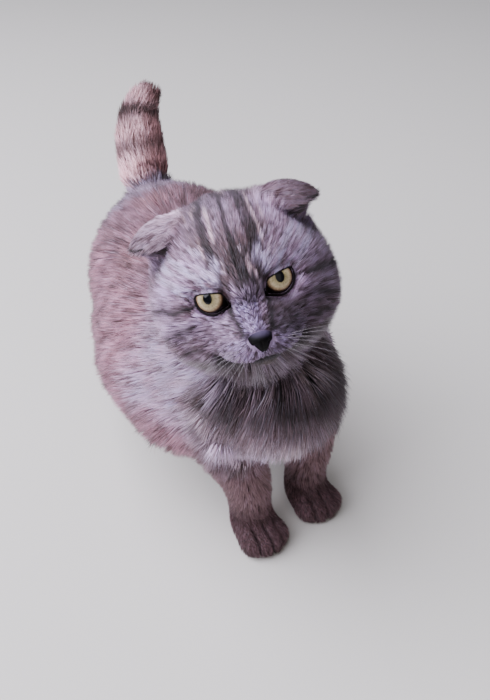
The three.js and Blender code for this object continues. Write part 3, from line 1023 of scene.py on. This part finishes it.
def clump(roots, tips, strength):
    """Tips drawn towards a leader's way of lying, and a tone from -1 to 1 that each lock shares."""
    leaders = rng.permutation(len(roots))[: len(roots) // CLUMP_SIZE]
    tree = kdtree.KDTree(len(leaders))
    for i, leader in enumerate(leaders):
        tree.insert(roots[leader], i)
    tree.balance()
    mine = leaders[np.array([tree.find(root)[1] for root in roots])]
    shared = np.clip(rng.normal(0, 0.6, len(roots)), -1, 1)[mine]
    return tips + (tips[mine] - tips) * strength[:, None], shared


def tuft_mesh(name, roots, normals, mids, tips, widths, colours, tip_colours, uvs, curved):
    """Joined tufts: each is a thin three-sided spike, closed at its root, with a bend if it is curved."""
    count = len(roots)
    along = unit(tips - roots)
    side = unit(np.cross(along, normals) + 1e-6)
    across = np.cross(along, side)
    rings = [(roots - along * ROOT_SINK, 1.0)] + ([(mids, 0.8)] if curved else [])
    corners = []
    for centre, scale in rings:
        for third in range(3):
            angle = 2 * math.pi * third / 3 + math.pi / 2
            reach = widths[:, None] * scale / 2
            corners.append(centre + reach * (math.cos(angle) * side + math.sin(angle) * across * 0.7))
    corners.append(tips)
    size = len(corners)
    points = np.stack(corners, axis=1).reshape(-1, 3)
    faces = [(0, 2, 1)]
    for ring in range(len(rings) - 1):
        low, high = 3 * ring, 3 * ring + 3
        for k in range(3):
            n = (k + 1) % 3
            faces += [(low + k, low + n, high + n), (low + k, high + n, high + k)]
    top = 3 * len(rings) - 3
    faces += [(top + k, top + (k + 1) % 3, size - 1) for k in range(3)]
    faces = np.array(faces)
    corner_index = (np.arange(count)[:, None, None] * size + faces[None]).reshape(-1)

    mesh = bpy.data.meshes.new(name)
    mesh.vertices.add(len(points))
    mesh.vertices.foreach_set("co", points.astype(np.float32).ravel())
    mesh.loops.add(len(corner_index))
    mesh.loops.foreach_set("vertex_index", corner_index.astype(np.int32))
    mesh.polygons.add(len(corner_index) // 3)
    mesh.polygons.foreach_set("loop_start", np.arange(0, len(corner_index), 3, dtype=np.int32))
    mesh.update()

    root_part = [colours * ROOT_SHADE] * 3
    middle_part = [colours * 0.3 + tip_colours * 0.6] * 3 if curved else []
    paint(mesh, np.stack(root_part + middle_part + [tip_colours], axis=1).reshape(-1, 3))
    patch = PATCH * np.array([(0, 0), (1, 0), (0.5, 0.4)] * len(rings) + [(0.5, 1)])
    uv = mesh.uv_layers.new(name="OFBake")
    spread = uvs[:, None, :] + patch[None]
    uv.data.foreach_set("uv", spread.reshape(-1, 2)[corner_index].astype(np.float32).ravel())
    return mesh


def unwrap(points, region):
    """A place on a flat map of the skin: round and along the head, trunk, legs or tail."""
    mm = points / MM
    x, y, z = mm.T
    if region.startswith(("brow", "cheek", "crown")):
        h = to_head(points)
        round_share = np.arctan2(h[:, 0], h[:, 2]) / (2 * np.pi) + 0.5
        along = np.arccos(np.clip(-h[:, 1] / span(h, 0), -1, 1)) / np.pi
    elif region == "tail":
        away = points - TAIL_LINE[0]
        round_share = np.arctan2(away[:, 0], away[:, 2] - away[:, 1]) / (2 * np.pi) + 0.5
        along = tail_share(points)
    elif region.endswith("legs"):
        middle_y = y.mean()
        left = x > 15
        round_share = np.arctan2(x - np.where(left, 48, -8), y - middle_y) / (4 * np.pi) + 0.25 + 0.5 * left
        along = z / 120
    else:
        round_share = np.arctan2(x - 8, z - 150) / (2 * np.pi) + 0.5
        along = (y - y.min()) / (y.max() - y.min())
    return np.column_stack([np.clip(round_share, 0, 1), np.clip(along, 0, 1)]) * 0.99


def region_of(points):
    """The coat piece that each root belongs to."""
    x, y, z = points.T / MM
    across, back, up = to_head(points).T
    side = np.where(x < 8, "right", "left")
    trunk = np.where(y < -30, "shoulder_", np.where(y < 45, "flank_", "rump_"))
    face_side = np.where(across < 0, "right", "left")
    height = np.where(up > 4, "brow_", "cheek_")
    head = head_mask(points) > 0.5
    legs = z < 88
    return np.select(
        [head & (back < -8), head, tail_mask(points) > 0.5, legs & (y < 0), legs, bib_mask(points) > 0.5],
        [np.char.add(height, face_side), "crown", "tail", "fore_legs", "hind_legs", "bib"],
        np.char.add(trunk, side),
    )


def grow_coat(points, triangles, material):
    """Grows the tufts over the skin, one piece for each region."""
    roots, normals = scatter(points, triangles, coat_density)
    bare = bare_mask(roots)
    roots, normals = roots[~bare], normals[~bare]
    count = len(roots)
    lie = coat_lie(roots, normals)
    length = coat_length(roots) * MM * (0.8 + 0.35 * rng.random(count))
    long_hair = np.maximum(bib_mask(roots), jaw_mask(to_head(roots)) * head_mask(roots))
    guard = rng.random(count) < GUARD_SHARE * long_hair
    length *= np.where(guard, 1.25, 1)
    depth = coat_depth(roots) * MM
    ratio = np.clip(depth / np.maximum(length, 1e-6), 0.12, 0.8) * (0.75 + 0.45 * rng.random(count))
    ratio = np.clip(ratio, 0.1, 0.85)
    neat = neat_mask(roots)
    jitter = rng.normal(0, 1, (count, 3)) * blend(0.16, 0.06, neat)[:, None]
    lie = tangent(lie + jitter, normals)
    flat = np.sqrt(1 - ratio**2)
    direction = lie * flat[:, None] + normals * ratio[:, None]
    tips = roots + direction * length[:, None]
    drawn = overlaid(0.3, (0.22, neat), (0.1, np.maximum(paw_mask(roots), tail_mask(roots))))
    tips, shared = clump(roots, tips, drawn + 0.26 * rng.random(count))
    tips[:, 2] = np.maximum(tips[:, 2], LOWEST_TIP)
    mids = roots + (tips - roots) * 0.5 + normals * (BEND * length)[:, None]
    widths = coat_width(roots) * MM * (0.75 + 0.5 * rng.random(count)) * np.where(guard, 0.5, 1)
    colours = coat_colour(roots, normals)
    smooth = np.maximum(leg_mask(roots), tail_mask(roots))
    lock = overlaid(0.85, (0.6, bib_mask(roots)), (0.85, neat), (0.3, smooth))
    tone = 1 + 0.3 * rng.normal(0, 1, count) + lock * shared + 0.22 * cloud(roots / MM, 3, 9)
    colours = within(colours * np.clip(tone, 0.18, 2.4)[:, None] ** TONE_HUE)
    pale = (rng.random(count) < PALE_SHARE) * (0.3 + 0.3 * rng.random(count)) * (1 - smooth * 0.6)
    pale = np.maximum(pale, neat * (rng.random(count) < NEAT_PALE_SHARE) * 0.8)
    pale = np.where(guard, 0.8, pale)
    lit = np.clip(colours.mean(axis=1) * 2.4, 0.15, 1)[:, None]
    tip_colours = within(mix(colours * TIP_SHADE, PALE_HAIR * lit, pale))
    names = region_of(roots)
    for region in np.unique(names):
        mine = names == region
        arrays = [part[mine] for part in (roots, normals, mids, tips, widths, colours, tip_colours)]
        mesh = tuft_mesh("coat_" + region, *arrays, unwrap(roots[mine], region), region in CURVED)
        finish_mesh(mesh, material)
        tufts = new_object("coat_" + region, mesh)
        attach(tufts, "root")


def bare_mask(points):
    """Where nothing grows: over the eyes, on the nose leather and in the line of the mouth."""
    bare = np.zeros(len(points), bool)
    for side in (1, -1):
        eye = eye_frame(points, side)
        low = step(0.2, -0.6, eye[:, 2] / np.maximum(np.hypot(eye[:, 0], eye[:, 2]), 1))
        bare |= (past_lid(eye)[0] < 0.35 + 1.3 * low) & (eye[:, 1] < 0)
    h = to_head(points)
    bare |= span(h, [0, -51, -19.5], [8, 7.5, 6]) < 1
    side = abs(h[:, 0])
    below = mouth_height(side) - h[:, 2]
    mouth = (below > -1.0) & (below < 1.4 + 0.05 * side) & (h[:, 1] < -22) & (side < 27)
    return bare | mouth | (toe_gaps(points)[0] > 0.75)


# Materials of the coat and skin
def coat_material(name):
    """Cat's hair, keratin: satin along each strand, so broad soft highlights and no gloss."""
    material = new_material(name)
    colour = add_node(material.node_tree, "ShaderNodeAttribute", attribute_name="coat colour")
    sheen = [("Sheen Weight", 0.05), ("Sheen Roughness", 0.5)]
    return finish_material(
        material, [("Base Color", colour), ("Roughness", 0.62), ("Specular IOR Level", 0.3), *sheen]
    )


# Eyes: the balls, painted round the gaze, with a clear wet front
def eyeball(side):
    bpy.ops.mesh.primitive_uv_sphere_add(segments=64, ring_count=40, radius=EYE_RADIUS)
    ball = bpy.context.active_object
    ball.name = "eyeball_left" if side > 0 else "eyeball_right"
    gaze = np.array(turn(side * GAZE_OUT + GAZE_SIDE, "Z") @ turn(-GAZE_UP, "X") @ turn(90, "X"))
    points = points_of(ball.data)
    reach = np.hypot(points[:, 0], points[:, 1])
    front = points[:, 2] > 0
    bulge = CORNEA_BULGE * np.clip(1 - (reach / CORNEA_REACH) ** 2, 0, 1) * front
    points = points * (1 + bulge / EYE_RADIUS)[:, None]
    layer = ball.data.attributes.new("gaze", "FLOAT_VECTOR", "POINT")
    layer.data.foreach_set("vector", (points * [side, 1, 1]).astype(np.float32).ravel())
    put_points(ball.data, from_head(points @ gaze.T + eye_middle(side)))
    bpy.ops.object.shade_smooth()
    return ball


IRIS_COLOURS = [(0.3, "#6f6748"), (0.45, "#a19572"), (0.7, "#c5b593"), (0.84, "#a98f73")]
IRIS_COLOURS += [(0.93, "#4d382a"), (1.0, "#0e0908")]
SPOKE_COLOURS = [(0.3, "#8f8a76"), (0.55, "#ffffff"), (0.75, "#fff6d8")]
FLECK_COLOURS = [(0.4, "#ffffff"), (0.7, "#b9b39a")]
PUPIL_HALF = (2.65, 3.6)
PUPIL_UP = 0.4
PUPIL_COLOUR = (0.0015, 0.0018, 0.003, 1)


def eye_material():
    """A cat's eye: pale gold iris with fine spokes and a dark edge, an oval pupil, wet and glossy."""
    material = new_material("cat's eye, gold iris")
    tree = material.node_tree
    gaze = add_node(tree, "ShaderNodeAttribute", attribute_name="gaze").outputs["Vector"]
    # Round the gaze: the share of the iris's radius and the angle
    flat = (1 / IRIS_RADIUS, 1 / IRIS_RADIUS, 0)
    disc = add_node(tree, "ShaderNodeVectorMath", [(0, gaze), (1, flat)], operation="MULTIPLY")
    share = add_node(tree, "ShaderNodeVectorMath", [(0, disc)], operation="LENGTH").outputs["Value"]
    parts = add_node(tree, "ShaderNodeSeparateXYZ", [("Vector", gaze)]).outputs
    angle = add_node(tree, "ShaderNodeMath", [(0, parts["Y"]), (1, parts["X"])], operation="ARCTAN2")
    polar = add_node(tree, "ShaderNodeCombineXYZ", [("X", angle), ("Y", share)])
    stretch = (9.0, 0.35 * IRIS_RADIUS, 0)
    spokes = add_node(tree, "ShaderNodeVectorMath", [(0, polar), (1, stretch)], operation="MULTIPLY")
    grain = [("Vector", spokes), ("Scale", 1.6), ("Detail", 3.0), ("Roughness", 0.6)]
    fibres = add_node(tree, "ShaderNodeTexNoise", grain)
    flecks = add_node(tree, "ShaderNodeTexNoise", [("Vector", gaze), ("Scale", 0.9), ("Detail", 2.0)])
    colour = add_node(tree, "ShaderNodeValToRGB", [("Fac", share)], IRIS_COLOURS)
    for weight, pattern, stops in ((0.7, fibres, SPOKE_COLOURS), (0.6, flecks, FLECK_COLOURS)):
        shade = add_node(tree, "ShaderNodeValToRGB", [("Fac", pattern)], stops)
        tinted = [(0, weight), (6, colour), (7, shade)]
        tinted = add_node(tree, "ShaderNodeMix", tinted, data_type="RGBA", blend_type="MULTIPLY")
        colour = tinted.outputs[2]
    # The pupil
    squash = (1 / PUPIL_HALF[0], 1 / PUPIL_HALF[1], 0)
    lower = (0, -PUPIL_UP / PUPIL_HALF[1], 0)
    oval = [(0, gaze), (1, squash), (2, lower)]
    oval = add_node(tree, "ShaderNodeVectorMath", oval, operation="MULTIPLY_ADD")
    oval = add_node(tree, "ShaderNodeVectorMath", [(0, oval)], operation="LENGTH").outputs["Value"]
    edge = add_node(tree, "ShaderNodeValToRGB", [("Fac", oval)], [(0.94, "#000000"), (1.04, "#ffffff")])
    colour = add_node(tree, "ShaderNodeMix", [(0, edge), (6, PUPIL_COLOUR), (7, colour)], data_type="RGBA")
    wet = [("Coat Weight", 0.8), ("Coat Roughness", 0.03), ("Coat IOR", 1.376)]
    under = [("Roughness", 0.4), ("IOR", 1.376), ("Specular IOR Level", 0.0)]
    return finish_material(material, [("Base Color", colour.outputs[2]), *under, *wet])


def rim_material():
    """Bare lid edge: near-black skin with only a faint gloss, so that it outlines the eye."""
    return plain_material("bare eyelid edge", "#0d0809", ("Roughness", 0.4), ("Specular IOR Level", 0.15))


# Nose leather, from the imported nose
NOSE = hexes(upper="#4d445c", lower="#020102", edge="#050305")
NOSE_VOXEL = 0.00045
PEBBLE = 0.5 * MM  # spacing of the grain


def nose_colour(points):
    h = to_head(points)
    leather = Layers(NOSE, "upper", len(h))
    leather.lay("lower", step(-13.0, -17.5, h[:, 2] + 0.15 * h[:, 0]))
    leather.lay("edge", step(4.5, 6.5, abs(h[:, 0])) * 0.7)
    return leather.colours


def make_nose():
    piece = grown_copy("nose")
    piece.name = "nose_leather"
    apply_modifier(piece, "REMESH", mode="VOXEL", voxel_size=NOSE_VOXEL)
    mesh = piece.data
    points = smoothed(points_of(mesh), edges_of(mesh), np.full(len(mesh.vertices), 0.5), 4)
    normals = vertex_normals(points, triangles_of(mesh))
    h = to_head(points)
    groove = peak(h[:, 0], 0, 0.5) * step(-17, -20, h[:, 2]) * step(-49, -51, h[:, 1])
    points = points - normals * (0.5 * groove)[:, None] * MM
    put_points(mesh, points)
    paint(mesh, nose_colour(points))
    finish_mesh(mesh, nose_material())
    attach(piece, "root")
    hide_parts("nose")


def nose_material():
    """Nose leather: matt grey skin with a fine pebble grain."""
    material = new_material("nose leather")
    tree = material.node_tree
    colour = add_node(tree, "ShaderNodeAttribute", attribute_name="coat colour")
    place = add_node(tree, "ShaderNodeTexCoord").outputs["Object"]
    grain = add_node(tree, "ShaderNodeTexVoronoi", [("Vector", place), ("Scale", 1 / PEBBLE)])
    bump = add_node(tree, "ShaderNodeBump", [("Height", grain), ("Strength", 0.35), ("Distance", 0.2 * MM)])
    matt = [("Roughness", 0.5), ("Specular IOR Level", 0.1), ("Normal", bump)]
    return finish_material(material, [("Base Color", colour), *matt])


# Whiskers: long white hairs from the pads, and a few over the eyes
TUBE_STEPS = 8
TUBE_SIDES = 5
PAD_ROWS = (3, 3, 2, 1)  # whiskers in each row of a pad, from the top
PAD_THICK = 0.15
BROW_COUNT = 3
BROW_THICK = 0.13


def hair_tube(start, way, bend, length, thick):
    """A thin tapered tube that starts along a way and bends, in head millimetres."""
    shares = np.linspace(0, 1, TUBE_STEPS + 1)[:, None]
    line = start + way * length * shares + bend * length * shares**2
    ahead = unit(np.gradient(line, axis=0))
    side = unit(np.cross(ahead, [0.1, 0.2, 1.0]))
    across = np.cross(ahead, side)
    angles = np.arange(TUBE_SIDES) * 2 * np.pi / TUBE_SIDES
    radius = thick * (1 - 0.85 * shares) / 2
    rings = [line + radius * (math.cos(a) * side + math.sin(a) * across) for a in angles]
    points = np.stack(rings, axis=1).reshape(-1, 3)
    faces = []
    for i in range(TUBE_STEPS):
        low, high = i * TUBE_SIDES, (i + 1) * TUBE_SIDES
        for k in range(TUBE_SIDES):
            n = (k + 1) % TUBE_SIDES
            faces.append((low + k, low + n, high + n, high + k))
    end = tuple(range(TUBE_SIDES))
    faces += [end[::-1], tuple(TUBE_STEPS * TUBE_SIDES + k for k in end)]
    return points, faces


def whisker_material():
    """A whisker: stiff white keratin, slightly glossy."""
    return plain_material("whisker", "#b4abb3", ("Roughness", 0.4), ("IOR", 1.55))


def make_whiskers(skin_points):
    h = to_head(skin_points)
    points, faces = [], []
    places = []
    for side in (1, -1):
        for row, count in enumerate(PAD_ROWS):
            for n in range(count):
                root = np.array([side * (10 + 3.6 * n + 0.8 * (row % 2)), 0, -21.5 - 2.0 * row])
                way = np.array([side * (0.75 + 0.08 * n), -0.1 + 0.16 * n, -0.1 - 0.22 * row])
                bend = np.array([0.0, 0.2, -0.2])
                places.append((root, way, bend, 26 + 5 * ((n * 7 + row * 3) % 4), PAD_THICK))
        for n in range(BROW_COUNT):
            root = np.array([side * (15 + 2.4 * n), 0, 15.5 + 0.7 * n])
            way = np.array([side * (0.15 + 0.25 * n), -0.55, 0.75])
            places.append((root, way, np.array([side * 0.1, 0.25, 0.05]), 18 + 3 * n, BROW_THICK))
    for root, way, bend, length, thick in places:
        front = h[(h[:, 1] < -20) & (np.hypot(h[:, 0] - root[0], h[:, 2] - root[2]) < 1.5)]
        root[1] = front[:, 1].min() + 0.6
        way = way / np.linalg.norm(way)
        tube, tube_faces = hair_tube(root, way, bend, length, thick)
        start = sum(len(part) for part in points)
        faces += [tuple(start + i for i in face) for face in tube_faces]
        points.append(tube)
    mesh = bpy.data.meshes.new("whiskers")
    mesh.from_pydata(from_head(np.concatenate(points)).tolist(), [], faces)
    mesh.update()
    finish_mesh(mesh, whisker_material())
    whiskers = new_object("whiskers", mesh)
    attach(whiskers, "root")


skin = make_skin_mesh()
draw_in(skin.data)
shape_face(skin.data)
skin_points = points_of(skin.data)
skin_triangles = triangles_of(skin.data)
skin_normals = vertex_normals(skin_points, skin_triangles)
paint(skin.data, coat_colour(skin_points, skin_normals) * UNDERFUR_SHADE)
finish_mesh(skin.data, coat_material("underfur on the skin"))
lid_edge = rim_material()
rims = [new_object("lid_rim", rim_mesh(side)) for side in (1, -1)]
for rim in rims:
    finish_mesh(rim.data, lid_edge)
join([skin] + rims)
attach(skin, "root")
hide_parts(*FLESH)

iris = eye_material()
for side, node in ((1, "eye_left"), (-1, "eye_right")):
    ball = eyeball(side)
    ball.data.materials.append(iris)
    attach(ball, "root")
    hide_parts(node)
make_nose()
make_whiskers(skin_points)
grow_coat(skin_points, skin_triangles, coat_material("tabby coat"))

# Floor and light
bpy.ops.mesh.primitive_plane_add(size=14)
floor = bpy.context.object
floor.name = "floor"
floor.data.materials.append(plain_material("plain pale floor", "#d5d2cc", ("Roughness", 0.8)))


def area_light(name, at, towards, size, power, colour):
    data = bpy.data.lights.new(name, "AREA")
    data.size = size
    data.energy = power
    data.color = linear(colour)
    light = new_object(name, data)
    light.location = at
    light.rotation_euler = (Vector(towards) - Vector(at)).to_track_quat("-Z", "Y").to_euler()


area_light("key", (-1.15, 0.3, 1.85), (0, 0, 0.15), 2.6, 172, "#f2f1ff")
area_light("fill", (-0.6, -1.7, 1.3), (0, 0, 0.15), 1.6, 6, "#fff2e8")
world = bpy.data.worlds.new("soft surround")
world.use_nodes = True
background = world.node_tree.nodes["Background"].inputs
background["Color"].default_value = (*linear("#dfe3ea"), 1)
background["Strength"].default_value = 0.24
bpy.context.scene.world = world
